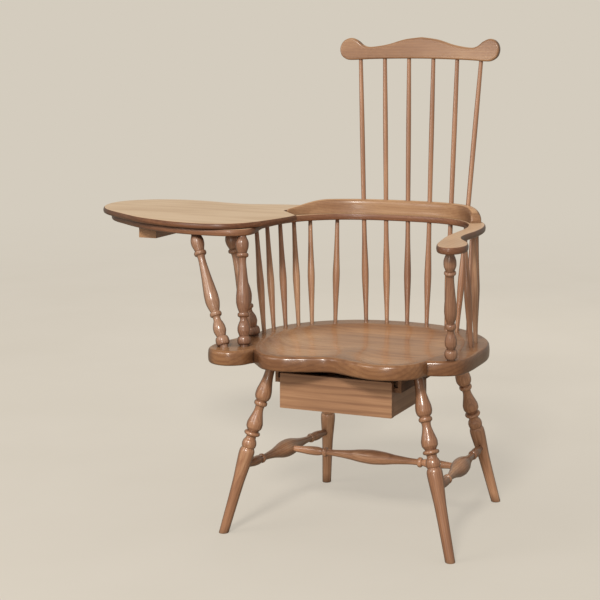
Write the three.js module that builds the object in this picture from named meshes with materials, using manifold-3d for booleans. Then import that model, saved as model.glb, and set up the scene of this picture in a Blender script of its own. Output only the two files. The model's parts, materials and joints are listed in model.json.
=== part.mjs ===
// Windsor writing-arm chair: turned legs and H stretcher, saddle seat with a glued
// side extension, spindle back with a comb and eared crest rail, a wide writing tablet
// on the sitter's right arm, and a small drawer hung under the seat.
// Millimetres. +Z up, -Y is the front of the chair, -X is the writing side.
// The pieces are laid out about a point on the floor midway between the front feet and
// midway along the seat. At the end everything is moved so that the origin is on the floor
// under the middle of the whole chair, tablet included.

import * as THREE from 'three';
import { mergeVertices } from 'three/addons/utils/BufferGeometryUtils.js';
import Module from 'manifold-3d';

const wasm = await Module();
wasm.setup();

// ---------------------------------------------------------------- driving dimensions

const GAP = 0.3;                    // clearance left between neighbouring pieces

const SEAT_TOP = 434;
const SEAT_THICK = 34;
const SEAT_UNDER = SEAT_TOP - SEAT_THICK;
const SEAT_EDGE_ROUND = 5;
const DISH_DEPTH = 10;
const DISH_HALF_WIDTH = 222;
const DISH_HALF_DEPTH = 184;
const DISH_CENTRE_Y = -32;

const ARM_UNDER = 685;
const ARM_THICK = 16;
const ARM_TOP = ARM_UNDER + ARM_THICK;
const ARM_EDGE_ROUND = 3;
const TABLET_THICK = 14;
const TABLET_EDGE_ROUND = 3.5;

// Plan curve of the arm rail. It is fuller on the writing side than on the other.
const RAIL_INNER = { left: 280, right: 216, depth: 243 };
const RAIL_OUTER = { left: 324, right: 256, depth: 288 };
const RAIL_SQUARENESS = 2.6;

// The raised back piece, from its tip on the writing side to its ramp on the other.
const RAISED = {
  first: -68, fallFrom: 36, last: 58, tipHeight: 15, height: 35, tipHalfWidth: 3, halfWidth: 17,
};

const FOOT_FRONT = { x: 281, y: -228 };
const FOOT_REAR = { x: 230, y: 252 };
const LEG_TOP_FRONT = { x: 181, y: -168 };
const LEG_TOP_REAR = { x: 167, y: 128 };
const LEG_TENON = 18;
const STRETCHER_FRONT_HEIGHT = 153;
const STRETCHER_REAR_HEIGHT = 143;

const CREST_UNDER = 1092;
const CREST_THICK = 20;
const CREST_Y = 328;                // centre of the crest rail at its lower edge
const CREST_BOW = 12;               // how far the ends come forward of the middle
const CREST_LEAN = 0.19;            // backward lean, per unit of height

const DRAWER = { halfWidth: 139, front: -221, back: 4, bottom: 303, top: 384, wall: 9 };
const DRAWER_FRONT_THICK = 15;

const SPINDLE_TENON = 16;
const POST_TENON = 14;

// --------------------------------------------------------------------------- finishes

const WOOD = {
  seat: { color: 0xb98358, roughness: 0.42 },
  turned: { color: 0xa26f4a, roughness: 0.45 },
  rail: { color: 0xa8734d, roughness: 0.45 },
  tablet: { color: 0xcbab82, roughness: 0.4 },
  drawer: { color: 0xa07250, roughness: 0.5 },
  inner: { color: 0x8a6248, roughness: 0.65 },
};
const STEEL = { color: 0x8d8b86, roughness: 0.4, metalness: 0.9 };

const chair = new THREE.Group();
chair.name = 'writing_arm_chair';

// ---------------------------------------------------------------------- solid helpers

function vec(x, y, z) {
  return new THREE.Vector3(x, y, z);
}

function solidFrom(geometry) {
  const bare = new THREE.BufferGeometry();
  bare.setAttribute('position', geometry.attributes.position);
  if (geometry.index) bare.setIndex(geometry.index);
  const welded = mergeVertices(bare, 1e-3);
  return new wasm.Manifold(new wasm.Mesh({
    numProp: 3,
    vertProperties: new Float32Array(welded.attributes.position.array),
    triVerts: new Uint32Array(welded.index.array),
  }));
}

// Skin over a row of closed rings that all have the same number of points.
function loft(rings) {
  const sides = rings[0].length;
  const positions = [];
  for (const ring of rings) {
    for (const point of ring) positions.push(point.x, point.y, point.z);
  }
  const faces = [];
  for (let k = 0; k + 1 < rings.length; k += 1) {
    for (let i = 0; i < sides; i += 1) {
      const a = k * sides + i;
      const b = k * sides + ((i + 1) % sides);
      faces.push([a, b, b + sides], [a, b + sides, a + sides]);
    }
  }
  const last = (rings.length - 1) * sides;
  for (let i = 1; i + 1 < sides; i += 1) {
    faces.push([0, i + 1, i], [last, last + i, last + i + 1]);
  }
  let volume = 0;
  const corner = (i) => vec(positions[3 * i], positions[3 * i + 1], positions[3 * i + 2]);
  for (const [a, b, c] of faces) {
    volume += corner(a).dot(corner(b).cross(corner(c)));
  }
  const outward = volume > 0 ? faces : faces.map(([a, b, c]) => [a, c, b]);
  const geometry = new THREE.BufferGeometry();
  geometry.setAttribute('position', new THREE.Float32BufferAttribute(positions, 3));
  geometry.setIndex(outward.flat());
  return solidFrom(geometry);
}

// A piece turned about the line between two points. The profile lists [fraction of the
// way along, radius]; a plain tenon continues past each end. Grow makes it fatter and
// longer all round, for cutting its socket.
function turned({ from, to, profile, tenons = [0, 0], sides = 8 }, grow = 0) {
  const axis = to.clone().sub(from);
  const length = axis.length();
  axis.normalize();
  const across = vec(0, 0, 1).cross(axis).lengthSq() > 0.2
    ? vec(0, 0, 1).cross(axis).normalize()
    : vec(0, 1, 0).cross(axis).normalize();
  const other = axis.clone().cross(across);
  const stations = profile.map(([fraction, radius]) => [fraction * length, radius]);
  stations.unshift([-tenons[0] - grow, profile[0][1]]);
  stations.push([length + tenons[1] + grow, profile[profile.length - 1][1]]);
  const rings = stations.map(([along, radius]) => {
    const ring = [];
    for (let i = 0; i < sides; i += 1) {
      const angle = (2 * Math.PI * (i + 0.5)) / sides;
      ring.push(from.clone()
        .addScaledVector(axis, along)
        .addScaledVector(across, (radius + grow) * Math.cos(angle))
        .addScaledVector(other, (radius + grow) * Math.sin(angle)));
    }
    return ring;
  });
  return loft(rings);
}

function box(x0, x1, y0, y1, z0, z1) {
  const geometry = new THREE.BoxGeometry(x1 - x0, y1 - y0, z1 - z0);
  geometry.translate((x0 + x1) / 2, (y0 + y1) / 2, (z0 + z1) / 2);
  return solidFrom(geometry);
}

// Points spaced along a smooth open curve through the given plan points.
function curve(points, count) {
  const path = new THREE.SplineCurve(points.map(([x, y]) => new THREE.Vector2(x, y)));
  return path.getSpacedPoints(count);
}

// A flat board with the given plan outline and rounded-over edges.
function board(outline, under, thick, round) {
  const geometry = new THREE.ExtrudeGeometry(new THREE.Shape(outline), {
    depth: thick - 2 * round,
    bevelEnabled: true,
    bevelThickness: round,
    bevelSize: round,
    bevelOffset: -round,
    bevelSegments: 1,
    steps: 1,
  });
  geometry.translate(0, 0, under + round);
  return solidFrom(geometry);
}

function add(name, solid, finish) {
  const mesh = solid.getMesh();
  const geometry = new THREE.BufferGeometry();
  geometry.setAttribute('position', new THREE.Float32BufferAttribute(mesh.vertProperties, 3));
  geometry.setIndex(Array.from(mesh.triVerts));
  geometry.computeVertexNormals();
  const material = new THREE.MeshStandardMaterial({
    color: finish.color,
    roughness: finish.roughness,
    metalness: finish.metalness ?? 0,
  });
  const part = new THREE.Mesh(geometry, material);
  part.name = name;
  chair.add(part);
}

function cutAll(solid, cutters) {
  return cutters.reduce((rest, cutter) => rest.subtract(cutter), solid);
}

// ----------------------------------------------------------------------- turned pieces

const LEG_PROFILE = [
  [0.00, 10.5], [0.09, 11.5], [0.15, 15.2], [0.20, 19], [0.235, 13.5], [0.25, 15.5],
  [0.275, 10.2], [0.325, 14], [0.38, 19], [0.41, 14], [0.425, 18.8], [0.445, 11.4],
  [0.48, 16.8], [0.51, 15.8], [0.54, 18], [0.62, 16.4], [0.71, 13.7], [1.03, 11],
];

const ARM_POST_PROFILE = [
  [0.00, 9], [0.10, 14.6], [0.17, 10.2], [0.19, 13.6], [0.22, 9], [0.40, 11.8],
  [0.55, 14.4], [0.62, 11.8], [0.66, 8.8], [0.69, 12], [0.73, 7.8], [0.83, 14],
  [0.90, 9.6], [0.95, 15], [1.00, 9.5],
];

// The writing posts are stouter, and their long swelling sits a little lower.
const WRITING_POST_PROFILE = [
  [0.00, 10], [0.08, 16], [0.15, 12], [0.18, 15], [0.22, 9], [0.40, 12.2],
  [0.59, 17], [0.66, 14], [0.70, 10.5], [0.72, 14], [0.76, 8.6], [0.85, 15],
  [0.91, 11.4], [0.95, 16], [1.00, 10],
];

const SIDE_STRETCHER_PROFILE = [
  [0.00, 7.5], [0.13, 11], [0.17, 8], [0.19, 11], [0.21, 7.5], [0.34, 11.5], [0.44, 19],
  [0.50, 21], [0.56, 19], [0.66, 11.5], [0.79, 7.5], [0.81, 11], [0.83, 8], [0.87, 11],
  [1.00, 7.5],
];

const MEDIAL_STRETCHER_PROFILE = [
  [0.00, 7], [0.13, 10.5], [0.18, 8], [0.20, 12], [0.22, 7.5], [0.36, 11], [0.50, 17],
  [0.64, 11], [0.78, 7.5], [0.80, 12], [0.82, 8], [0.87, 10.5], [1.00, 7],
];

const SHORT_SPINDLE_PROFILE = [[0, 5], [0.15, 6], [0.46, 9], [0.8, 6], [1, 5]];

const COMB_SPINDLE_PROFILE = [
  [0, 5], [0.06, 6], [0.18, 8.8], [0.31, 6.2], [0.38, 5.8], [0.72, 6.3], [1, 5.2],
];

function legShape(side, top, foot) {
  const head = vec(side * top.x, top.y, SEAT_UNDER);
  const floor = vec(side * foot.x, foot.y, 0);
  return { from: head, to: floor, profile: LEG_PROFILE, tenons: [LEG_TENON, 8], sides: 10 };
}

const LEGS = {
  leg_front_left: legShape(-1, LEG_TOP_FRONT, FOOT_FRONT),
  leg_front_right: legShape(1, LEG_TOP_FRONT, FOOT_FRONT),
  leg_rear_left: legShape(-1, LEG_TOP_REAR, FOOT_REAR),
  leg_rear_right: legShape(1, LEG_TOP_REAR, FOOT_REAR),
};

// Point on a leg's axis at the given height.
function onLeg(leg, height) {
  const fraction = (leg.from.z - height) / (leg.from.z - leg.to.z);
  return leg.from.clone().lerp(leg.to, fraction);
}

// Stretchers stop short of the axis of the piece they enter, and their plain ends run
// into it as tenons.
function stretcherShape(a, b, profile, hostRadius, tenon) {
  const along = b.clone().sub(a).normalize();
  return {
    from: a.clone().addScaledVector(along, hostRadius),
    to: b.clone().addScaledVector(along, -hostRadius),
    profile,
    tenons: [tenon, tenon],
    sides: 10,
  };
}

const SIDE_STRETCHERS = {
  side_stretcher_left: stretcherShape(
    onLeg(LEGS.leg_front_left, STRETCHER_FRONT_HEIGHT),
    onLeg(LEGS.leg_rear_left, STRETCHER_REAR_HEIGHT),
    SIDE_STRETCHER_PROFILE, 14, 12,
  ),
  side_stretcher_right: stretcherShape(
    onLeg(LEGS.leg_front_right, STRETCHER_FRONT_HEIGHT),
    onLeg(LEGS.leg_rear_right, STRETCHER_REAR_HEIGHT),
    SIDE_STRETCHER_PROFILE, 14, 12,
  ),
};

function middle(piece) {
  return piece.from.clone().lerp(piece.to, 0.5);
}

const MEDIAL_STRETCHER = stretcherShape(
  middle(SIDE_STRETCHERS.side_stretcher_left),
  middle(SIDE_STRETCHERS.side_stretcher_right),
  MEDIAL_STRETCHER_PROFILE, 20, 15,
);

// Six comb spindles run from the seat through the arm rail up to the crest rail.
// They are listed from the writing side across, each as [foot x, foot y, head x, head y].
const COMB_PLAN = [
  [-96, 195, -163, 320], [-44, 206, -97, 325], [10, 208, -31, 328],
  [64, 203, 36, 328], [122, 187, 102, 325], [158, 164, 168, 320],
];

const COMB_SPINDLES = {};
COMB_PLAN.forEach(([footX, footY, headX, headY], k) => {
  COMB_SPINDLES[`comb_spindle_${k + 1}`] = {
    from: vec(footX, footY, SEAT_TOP),
    to: vec(headX, headY, CREST_UNDER),
    profile: COMB_SPINDLE_PROFILE,
    tenons: [SPINDLE_TENON, SPINDLE_TENON],
  };
});

// Short spindles fill the sides between the comb and the arm posts, from back to front.
// Each entry is [foot x, foot y, head x, head y].
const SHORT_PLAN = {
  left: [
    [-166, 160, -190, 228], [-212, 119, -247, 185], [-236, 90, -275, 146],
    [-254, 53, -291, 98], [-267, 12, -300, 42], [-271, -34, -302, -14],
  ],
  right: [
    [196, 139, 187, 196], [229, 96, 218, 138], [248, 42, 233, 70], [256, -16, 238, -8],
  ],
};

const SHORT_SPINDLES = {};
for (const [label, places] of Object.entries(SHORT_PLAN)) {
  places.forEach(([footX, footY, headX, headY], k) => {
    SHORT_SPINDLES[`short_spindle_${label}_${k + 1}`] = {
      from: vec(footX, footY, SEAT_TOP),
      to: vec(headX, headY, ARM_UNDER),
      profile: SHORT_SPINDLE_PROFILE,
      tenons: [SPINDLE_TENON, 10],
    };
  });
}

function postShape(profile, head, foot) {
  return {
    from: vec(head[0], head[1], ARM_UNDER),
    to: vec(foot[0], foot[1], SEAT_TOP),
    profile,
    tenons: [10, POST_TENON],
    sides: 10,
  };
}

const POSTS = {
  arm_post_right: postShape(ARM_POST_PROFILE, [280, -226], [262, -168]),
  writing_post_outer: postShape(WRITING_POST_PROFILE, [-395, -158], [-282, -226]),
  writing_post_front: postShape(WRITING_POST_PROFILE, [-272, -150], [-241, -200]),
  writing_post_rear: postShape(WRITING_POST_PROFILE, [-330, -100], [-274, -78]),
};

// -------------------------------------------------------------------------------- seat

// Shield-shaped seat: two thigh lobes with a shallow recess between them, a corner
// lobe for the arm post on the right, and a wider lobe for the writing posts on the left.
const seatOutline = [
  ...curve([
    [0, 240], [80, 232], [150, 206], [214, 158], [262, 94], [287, 20], [292, -60],
    [291, -125], [280, -168], [252, -190], [217, -201],
  ], 22),
  ...curve([
    [217, -201], [206, -240], [172, -274], [118, -286], [62, -271], [0, -249], [-58, -269],
    [-112, -286], [-158, -276], [-186, -248], [-206, -224],
  ], 22).slice(1),
  ...curve([
    [-206, -224], [-220, -256], [-252, -276], [-288, -270], [-313, -244], [-322, -206],
    [-317, -158], [-304, -110], [-293, -60],
  ], 14).slice(1),
  ...curve([[-293, -60], [-287, 20], [-262, 94], [-214, 158], [-150, 206], [-80, 232], [0, 240]], 15)
    .slice(1, -1),
].reverse();

const dish = solidFrom(new THREE.SphereGeometry(1, 28, 12))
  .rotate([90, 0, 0])
  .scale([DISH_HALF_WIDTH / 0.6, DISH_HALF_DEPTH / 0.6, DISH_DEPTH / 0.2])
  .translate([0, DISH_CENTRE_Y, SEAT_TOP + DISH_DEPTH * 4]);

const seatBody = board(seatOutline, SEAT_UNDER, SEAT_THICK, SEAT_EDGE_ROUND).subtract(dish);

// The writing-side lobe is a separate block glued on along a straight joint.
const JOINT_START = new THREE.Vector2(-206, -224);
const JOINT_END = new THREE.Vector2(-290, -92);
const jointAlong = JOINT_END.clone().sub(JOINT_START).normalize();
const jointOut = new THREE.Vector2(-jointAlong.y, jointAlong.x);

const jointOffset = jointOut.dot(JOINT_START);
const plankBlank = seatBody.trimByPlane([-jointOut.x, -jointOut.y, 0], -jointOffset + GAP / 2);
const extensionBlank = seatBody.trimByPlane([jointOut.x, jointOut.y, 0], jointOffset + GAP / 2);

const dowelShapes = [75, 125].map((distance) => {
  const centre = JOINT_START.clone().addScaledVector(jointAlong, distance);
  const reach = jointOut.clone().multiplyScalar(19);
  return {
    from: vec(centre.x - reach.x, centre.y - reach.y, SEAT_UNDER + SEAT_THICK / 2),
    to: vec(centre.x + reach.x, centre.y + reach.y, SEAT_UNDER + SEAT_THICK / 2),
    profile: [[0.05, 4], [0.95, 4]],
    sides: 8,
  };
});

const seatSockets = [
  ...Object.values(LEGS),
  ...Object.values(COMB_SPINDLES),
  ...Object.values(SHORT_SPINDLES),
  ...Object.values(POSTS),
  ...dowelShapes,
].map((piece) => turned(piece, GAP));

add('seat_plank', cutAll(plankBlank, seatSockets), WOOD.seat);
add('seat_side_extension', cutAll(extensionBlank, seatSockets), WOOD.seat);
dowelShapes.forEach((piece, k) => add(`extension_dowel_${k + 1}`, turned(piece), WOOD.inner));

// ------------------------------------------------------------------ legs and stretchers

const belowFloor = box(-600, 600, -600, 600, -60, 0);
const sideTenons = Object.values(SIDE_STRETCHERS).map((piece) => turned(piece, GAP));

for (const [name, leg] of Object.entries(LEGS)) {
  add(name, cutAll(turned(leg).subtract(belowFloor), sideTenons), WOOD.turned);
}

const medialTenons = turned(MEDIAL_STRETCHER, GAP);
for (const [name, piece] of Object.entries(SIDE_STRETCHERS)) {
  add(name, turned(piece).subtract(medialTenons), WOOD.turned);
}
add('medial_stretcher', turned(MEDIAL_STRETCHER), WOOD.turned);

// ------------------------------------------------------------------ spindles and posts

for (const [name, piece] of Object.entries({ ...COMB_SPINDLES, ...SHORT_SPINDLES, ...POSTS })) {
  add(name, turned(piece), WOOD.turned);
}

// ---------------------------------------------------------------- arm rail and tablet

// Plan point on one of the rail's curved edges. Angle 0 is the middle of the back and
// 90 degrees is the right-hand side.
function railPoint(edge, degrees, inset = 0) {
  const angle = THREE.MathUtils.degToRad(degrees);
  const power = 2 / RAIL_SQUARENESS;
  const halfWidth = degrees < 0 ? edge.left : edge.right;
  const x = Math.abs(Math.sin(angle)) ** power * (halfWidth + inset);
  const y = Math.abs(Math.cos(angle)) ** power * (edge.depth + inset);
  return [Math.sign(degrees) * x, y];
}

function railEdge(edge, fromDegrees, toDegrees, steps, inset = 0) {
  const points = [];
  for (let k = 0; k <= steps; k += 1) {
    const degrees = THREE.MathUtils.lerp(fromDegrees, toDegrees, k / steps);
    points.push(new THREE.Vector2(...railPoint(edge, degrees, inset)));
  }
  return points;
}

// Right arm: follows the back, runs forward, and ends in a rounded hand-hold. The left
// arm starts the same way and widens into the board that carries the tablet.
const handHold = [
  [217, -40], [221, -95], [231, -155], [243, -212], [261, -253], [286, -267],
  [307, -252], [315, -215], [301, -165], [269, -112], [254, -60],
];
const armBoardEdge = [
  [0, 288], [-100, 281], [-200, 262], [-290, 236], [-370, 212], [-440, 196],
  [-500, 200], [-570, 214], [-640, 214], [-704, 190], [-744, 148], [-755, 98],
  [-743, 40], [-705, -20], [-645, -70], [-560, -130], [-480, -166], [-410, -183],
  [-345, -187], [-290, -178], [-260, -152], [-256, -115], [-268, -70], [-280, -20],
];
const armOutline = [
  ...railEdge(RAIL_INNER, -88, 88, 20),
  ...curve(handHold, 15),
  ...railEdge(RAIL_OUTER, 88, 8, 10),
  ...curve(armBoardEdge, 36),
].reverse();

const armBody = board(armOutline, ARM_UNDER, ARM_THICK, ARM_EDGE_ROUND);

// The raised back piece laid over the joint of the two arms. It tapers to a point on the
// writing side and ramps down to the arm on the other side.
function crestStation(degrees, halfWidth, top) {
  const inner = new THREE.Vector2(...railPoint(RAIL_INNER, degrees, 3));
  const outer = new THREE.Vector2(...railPoint(RAIL_OUTER, degrees, -3));
  const centre = inner.clone().lerp(outer, 0.5);
  const across = outer.clone().sub(inner).normalize().multiplyScalar(halfWidth);
  const low = ARM_TOP + GAP;
  const edge = Math.min(3, (top - low) / 3);
  const corner = (reach, height) => vec(
    centre.x + reach * across.x, centre.y + reach * across.y, height,
  );
  const soft = 1 - edge / Math.max(halfWidth, edge * 1.5);
  return [
    corner(-1, low), corner(1, low), corner(1, top - edge), corner(soft, top),
    corner(-soft, top), corner(-1, top - edge),
  ];
}

function armCrest(grow) {
  const stations = [];
  for (let degrees = RAISED.first; degrees <= RAISED.last; degrees += 7) {
    const left = THREE.MathUtils.smoothstep(degrees, RAISED.first - 4, RAISED.first + 30);
    const fallen = Math.max(0, (degrees - RAISED.fallFrom) / (RAISED.last - RAISED.fallFrom));
    const right = Math.sqrt(1 - fallen * fallen);
    const widening = (RAISED.halfWidth - RAISED.tipHalfWidth) * left;
    const halfWidth = RAISED.tipHalfWidth + widening * (0.75 + 0.25 * right);
    const height = RAISED.tipHeight + (RAISED.height - RAISED.tipHeight) * left;
    const top = ARM_TOP + GAP + height * (0.25 + 0.75 * right);
    stations.push(crestStation(degrees, halfWidth + grow, top + grow));
  }
  return loft(stations);
}

// The tablet lies on the left arm, overhangs it towards the sitter, and is fitted round
// the outside of the raised back piece.
const tabletOutline = [
  ...curve([
    [-217, 40], [-222, -8], [-236, -66], [-258, -130], [-296, -176], [-350, -195],
    [-412, -193], [-482, -176], [-562, -143], [-650, -84], [-725, -25], [-768, 40],
    [-782, 102], [-770, 160], [-725, 208], [-650, 236], [-570, 234], [-500, 218],
    [-440, 212], [-380, 228], [-320, 243], [-262, 252],
  ], 44),
  ...[[-218, 230], [-255, 185], [-277, 132]].map(([x, y]) => new THREE.Vector2(x, y)),
].reverse();

const armPegs = [...Object.values(COMB_SPINDLES), ...Object.values(SHORT_SPINDLES),
  ...Object.values(POSTS)].map((piece) => turned(piece, GAP));

// A wood screw driven straight up: a flat head, then a tapering shank.
function screwShape(x, y, headZ, length) {
  return {
    from: vec(x, y, headZ),
    to: vec(x, y, headZ + length),
    profile: [[0, 4], [0.1, 2.2], [0.85, 1.8], [1, 0.8]],
    sides: 8,
  };
}

const BATTEN = { x0: -585, x1: -537, y0: -96, y1: 150, under: 658 };
const crestScrews = [[-62, 265], [62, 265]].map(([x, y]) => screwShape(x, y, ARM_UNDER + 2, 32));
const battenScrews = [-60, 112].map((y) => (
  screwShape((BATTEN.x0 + BATTEN.x1) / 2, y, BATTEN.under + 3, 43)
));
const screwHoles = [...crestScrews, ...battenScrews].map((piece) => turned(piece, GAP));

const armBlank = cutAll(armBody, [...armPegs, ...screwHoles]);
add('arm_rail_left', armBlank.trimByPlane([-1, 0, 0], GAP / 2), WOOD.rail);
add('arm_rail_right', armBlank.trimByPlane([1, 0, 0], GAP / 2), WOOD.rail);
add('arm_crest', cutAll(armCrest(0), [...armPegs, ...screwHoles]), WOOD.rail);

const tabletBlank = board(tabletOutline, ARM_TOP + GAP, TABLET_THICK, TABLET_EDGE_ROUND);
add('writing_tablet', cutAll(tabletBlank, [armCrest(GAP), ...armPegs, ...screwHoles]), WOOD.tablet);

const batten = box(BATTEN.x0, BATTEN.x1, BATTEN.y0, BATTEN.y1, BATTEN.under, ARM_UNDER - GAP);
add('tablet_batten', cutAll(batten, screwHoles), WOOD.rail);

crestScrews.forEach((piece, k) => add(`arm_crest_screw_${k + 1}`, turned(piece), STEEL));
battenScrews.forEach((piece, k) => add(`batten_screw_${k + 1}`, turned(piece), STEEL));

// -------------------------------------------------------------------------- crest rail

const crestHalf = [
  [0, 60], [45, 54], [90, 41], [136, 34], [157, 38], [173, 50], [192, 57], [210, 49],
  [218, 31], [213, 12], [197, 1], [178, 0],
];
const crestOutline = [
  ...curve(crestHalf, 18),
  ...curve([[178, 0], [120, 3], [0, 5], [-120, 3], [-178, 0]], 8).slice(1),
  ...curve(crestHalf.map(([x, z]) => [-x, z]).reverse(), 18).slice(1, -1),
].reverse();

const crestGeometry = new THREE.ExtrudeGeometry(new THREE.Shape(crestOutline), {
  depth: CREST_THICK - 6,
  bevelEnabled: true,
  bevelThickness: 3,
  bevelSize: 3,
  bevelOffset: -3,
  bevelSegments: 1,
  steps: 1,
});
const crestPoints = crestGeometry.attributes.position;
for (let i = 0; i < crestPoints.count; i += 1) {
  const x = crestPoints.getX(i);
  const height = crestPoints.getY(i);
  const depth = crestPoints.getZ(i) - (CREST_THICK - 6) / 2;
  const bow = CREST_BOW * (x / 200) ** 2;
  const y = CREST_Y - bow + CREST_LEAN * height - depth;
  crestPoints.setXYZ(i, x, y, CREST_UNDER + height);
}
const combSockets = Object.values(COMB_SPINDLES).map((piece) => turned(piece, GAP));
add('crest_rail', cutAll(solidFrom(crestGeometry), combSockets), WOOD.rail);

// ------------------------------------------------------------------------------ drawer

const inside = DRAWER.halfWidth - DRAWER.wall;
const frontInner = DRAWER.front + DRAWER_FRONT_THICK;
const grooveDeep = 4.5;
const bottomUnder = DRAWER.bottom + 7;
const bottomThick = 4;
const groove = box(
  -inside - grooveDeep, inside + grooveDeep, frontInner - grooveDeep, DRAWER.back + 5,
  bottomUnder - GAP, bottomUnder + bottomThick + GAP,
);

const drawerFront = box(
  -DRAWER.halfWidth, DRAWER.halfWidth, DRAWER.front, frontInner, DRAWER.bottom, DRAWER.top,
);
add('drawer_front', drawerFront.subtract(groove), WOOD.drawer);

for (const [label, side] of [['left', -1], ['right', 1]]) {
  const near = side * inside;
  const far = side * (DRAWER.halfWidth - 0.5);
  const wall = box(
    Math.min(near, far), Math.max(near, far), frontInner + GAP, DRAWER.back,
    DRAWER.bottom + 1, DRAWER.top - 2,
  );
  add(`drawer_side_${label}`, wall.subtract(groove), WOOD.drawer);
  const rimFar = side * (DRAWER.halfWidth + 9);
  const rimNear = side * (DRAWER.halfWidth - 0.5 + GAP);
  add(`drawer_hanger_${label}`, box(
    Math.min(rimNear, rimFar), Math.max(rimNear, rimFar), frontInner + 8, DRAWER.back,
    DRAWER.top - 14, DRAWER.top - 2,
  ), WOOD.inner);

  // Each runner is screwed under the seat, and its lip carries the drawer's hanger.
  const web = side * (DRAWER.halfWidth + 9.5);
  const webFar = side * (DRAWER.halfWidth + 18);
  const lip = side * (DRAWER.halfWidth + 0.6);
  const runnerWeb = box(
    Math.min(web, webFar), Math.max(web, webFar), frontInner - 2, DRAWER.back + 22,
    DRAWER.top - 25, SEAT_UNDER - GAP,
  );
  const runnerLip = box(
    Math.min(lip, webFar), Math.max(lip, webFar), frontInner - 2, DRAWER.back + 22,
    DRAWER.top - 25, DRAWER.top - 14 - GAP,
  );
  add(`drawer_runner_${label}`, runnerWeb.add(runnerLip), WOOD.inner);
}

const backInner = DRAWER.back - DRAWER.wall;
add('drawer_back', box(
  -inside + GAP, inside - GAP, backInner, DRAWER.back - 0.5, bottomUnder + bottomThick + GAP,
  DRAWER.top - 8,
), WOOD.drawer);
add('drawer_bottom', box(
  -inside - grooveDeep + GAP, inside + grooveDeep - GAP, frontInner - grooveDeep + GAP,
  DRAWER.back - 0.5, bottomUnder, bottomUnder + bottomThick,
), WOOD.inner);
add('drawer_stop', box(-30, 30, DRAWER.back + 0.5, DRAWER.back + 20, DRAWER.top - 14,
  SEAT_UNDER - GAP), WOOD.inner);

const extent = new THREE.Box3().setFromObject(chair, true);
const middleX = (extent.min.x + extent.max.x) / 2;
const middleY = (extent.min.y + extent.max.y) / 2;
for (const part of chair.children) part.geometry.translate(-middleX, -middleY, 0);

export default chair;
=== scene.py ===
# Looks of a Windsor writing-arm chair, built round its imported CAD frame.
# Metres, +Z up. -Y is the front of the chair and -X is the writing side.

import json
import math

import bmesh
import bpy
import numpy as np
from mathutils import Matrix, Vector
from mathutils.geometry import delaunay_2d_cdt


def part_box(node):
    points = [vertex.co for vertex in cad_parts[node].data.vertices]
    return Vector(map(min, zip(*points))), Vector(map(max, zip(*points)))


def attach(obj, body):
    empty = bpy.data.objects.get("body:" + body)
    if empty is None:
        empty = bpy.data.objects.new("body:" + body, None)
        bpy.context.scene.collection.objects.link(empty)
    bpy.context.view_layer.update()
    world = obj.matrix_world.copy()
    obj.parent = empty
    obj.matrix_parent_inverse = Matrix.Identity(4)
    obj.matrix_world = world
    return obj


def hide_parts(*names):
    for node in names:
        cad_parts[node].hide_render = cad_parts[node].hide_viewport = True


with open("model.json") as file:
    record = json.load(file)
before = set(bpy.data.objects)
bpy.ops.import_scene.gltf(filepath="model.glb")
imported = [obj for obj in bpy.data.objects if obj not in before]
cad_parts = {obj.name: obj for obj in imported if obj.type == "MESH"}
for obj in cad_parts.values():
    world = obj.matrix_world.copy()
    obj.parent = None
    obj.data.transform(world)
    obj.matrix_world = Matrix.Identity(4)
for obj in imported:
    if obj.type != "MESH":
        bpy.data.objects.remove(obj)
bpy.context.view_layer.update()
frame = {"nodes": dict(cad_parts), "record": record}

nodes = frame["nodes"]
record = frame["record"]
BODY = {
    node: body
    for body, members in record["behaviour"]["bodies"].items()
    for node in members
}
SLOT = {part["node"]: part["material_slot"] for part in record["subparts"]}

# ------------------------------------------------------------------ datums from the frame

MM = 0.001
GAP = 0.3 * MM                # between two boards of one blank

# Plan curves are given in millimetres about a point on the seat's centre line, over the
# middle of the four feet. The drawer front is centred on that line, ahead of the point.
DRAWER_AHEAD = 221 * MM
front_low, front_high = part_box("drawer_front")
MIDDLE = Vector(((front_low.x + front_high.x) / 2, front_low.y + DRAWER_AHEAD, 0))

SEAT_UNDER, SEAT_TOP = (corner.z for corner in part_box("seat_plank"))
ARM_UNDER, ARM_TOP = (corner.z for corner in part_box("arm_rail_left"))
TABLET_UNDER, TABLET_TOP = (corner.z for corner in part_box("writing_tablet"))
RAISED_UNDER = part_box("arm_crest")[0].z
COMB_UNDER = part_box("crest_rail")[0].z


def plan(points):
    """Plan points in millimetres about the middle, as metres in the CAD's frame."""
    return np.array(points, float) * MM + np.array(MIDDLE[:2])


# ---------------------------------------------------------------------------- curve tools

OUTLINE_SPACING = 5 * MM


def spline(points, spacing):
    """Smooth open curve through the points, with its own points evenly spaced."""
    p = np.array(points, float)
    padded = np.vstack([p[:1], p, p[-1:]])
    t = np.linspace(0, 1, 16, endpoint=False)[:, None]
    pieces = []
    for k in range(len(p) - 1):
        before, start, end, after = padded[k : k + 4]
        leave = (end - before) / 2
        arrive = (after - start) / 2
        pieces.append(
            (2 * start - 2 * end + leave + arrive) * t**3
            + (3 * end - 3 * start - 2 * leave - arrive) * t**2
            + leave * t
            + start
        )
    fine = np.vstack(pieces + [p[-1:]])
    return resample(fine, spacing)


def resample(line, spacing):
    """The same line with evenly spaced points."""
    reach = np.r_[0, np.cumsum(np.linalg.norm(np.diff(line, axis=0), axis=1))]
    count = max(2, int(round(reach[-1] / spacing)) + 1)
    wanted = np.linspace(0, reach[-1], count)
    return np.column_stack([np.interp(wanted, reach, column) for column in line.T])


def closed(*runs):
    """One counter-clockwise outline from open runs that meet end to end."""
    outline = np.vstack([run[:-1] for run in runs])
    x, y = outline.T
    area = np.sum(x * np.roll(y, -1) - y * np.roll(x, -1))
    return outline if area > 0 else outline[::-1]


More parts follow.
